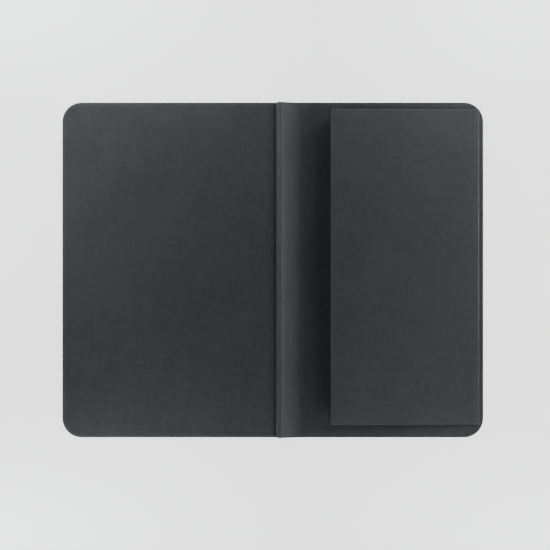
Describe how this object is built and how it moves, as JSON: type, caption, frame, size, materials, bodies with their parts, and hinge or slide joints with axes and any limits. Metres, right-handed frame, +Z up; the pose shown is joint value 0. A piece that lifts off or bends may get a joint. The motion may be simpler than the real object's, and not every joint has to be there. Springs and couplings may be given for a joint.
{
  "type": "pocket notebook",
  "caption": "Soft-cover pocket notebook lying open at its last page, with sewn sections, black endpapers and an expanding card pocket inside the back cover.",
  "frame": {"origin": "centre of the bottom of the open notebook's bounding box, on the surface it lies on", "axes": "+X across the open spread from the page block to the back cover, +Y towards the head of the pages, +Z up"},
  "size_m": [0.176, 0.14, 0.0088],
  "materials": {
    "cover_card": "matte black coated card",
    "endpaper": "matte black uncoated paper",
    "pocket_card": "matte black card with a fine grain",
    "gusset_paper": "thin black folded paper",
    "spine_cloth": "gauze lining",
    "page_paper": "ivory uncoated paper",
    "thread": "waxed linen thread"
  },
  "bodies": {
    "front_half": {"front_cover_board": "cover_card", "front_pastedown": "endpaper", "front_flyleaf": "endpaper", "spine_strip": "cover_card", "spine_lining": "spine_cloth", "section_1": "page_paper", "sewing_thread_1": "thread"},
    "leaves_2": {"section_2": "page_paper", "sewing_thread_2": "thread"},
    "leaves_3": {"section_3": "page_paper", "sewing_thread_3": "thread"},
    "leaves_4": {"section_4": "page_paper", "sewing_thread_4": "thread"},
    "leaves_5": {"section_5": "page_paper", "sewing_thread_5": "thread"},
    "leaves_6": {"section_6": "page_paper", "sewing_thread_6": "thread"},
    "rear_leaf": {"back_flyleaf": "endpaper"},
    "hinge_panel": {"back_hinge_panel": "cover_card"},
    "back_cover": {"back_cover_board": "cover_card", "back_pastedown": "endpaper", "pocket_back_panel": "pocket_card", "gusset_head_lower": "gusset_paper", "gusset_tail_lower": "gusset_paper", "gusset_fore_lower": "gusset_paper"},
    "pocket_flap": {"pocket_front_panel": "pocket_card", "gusset_head_upper": "gusset_paper", "gusset_tail_upper": "gusset_paper", "gusset_fore_upper": "gusset_paper"}
  },
  "joints": [
    {"name": "back_cover_hinge", "type": "hinge", "parent": "front_half", "child": "hinge_panel", "pos_m": [0.00237, 0, 0.009], "axis": [0, -1, 0], "range_deg": [0, 210]},
    {"name": "back_cover_crease", "type": "hinge", "parent": "hinge_panel", "child": "back_cover", "pos_m": [0.0155, 0, 0.00038], "axis": [0, -1, 0], "range_deg": [-36, 0]},
    {"name": "pocket_press", "type": "hinge", "parent": "back_cover", "child": "pocket_flap", "pos_m": [0.0866, 0, 0.00175], "axis": [0, -1, 0], "range_deg": [0, 4.1]},
    {"name": "leaves_turn_2", "type": "hinge", "parent": "front_half", "child": "leaves_2", "pos_m": [0.00125, 0, 0.00825], "axis": [0, -1, 0], "range_deg": [-10, 0]},
    {"name": "leaves_turn_3", "type": "hinge", "parent": "leaves_2", "child": "leaves_3", "pos_m": [0.00125, 0, 0.00825], "axis": [0, -1, 0], "range_deg": [-10, 0]},
    {"name": "leaves_turn_4", "type": "hinge", "parent": "leaves_3", "child": "leaves_4", "pos_m": [0.00125, 0, 0.00825], "axis": [0, -1, 0], "range_deg": [-10, 0]},
    {"name": "leaves_turn_5", "type": "hinge", "parent": "leaves_4", "child": "leaves_5", "pos_m": [0.00125, 0, 0.00825], "axis": [0, -1, 0], "range_deg": [-10, 0]},
    {"name": "leaves_turn_6", "type": "hinge", "parent": "leaves_5", "child": "leaves_6", "pos_m": [0.00125, 0, 0.00825], "axis": [0, -1, 0], "range_deg": [-10, 0]},
    {"name": "flyleaf_turn", "type": "hinge", "parent": "leaves_6", "child": "rear_leaf", "pos_m": [0.00125, 0, 0.00825], "axis": [0, -1, 0], "range_deg": [-72, 0]}
  ],
  "couplings": [
    {"joint": "back_cover_crease", "follows": "back_cover_hinge", "ratio": -0.1586},
    {"joint": "pocket_press", "follows": "back_cover_hinge", "ratio": 0.0186}
  ]
}
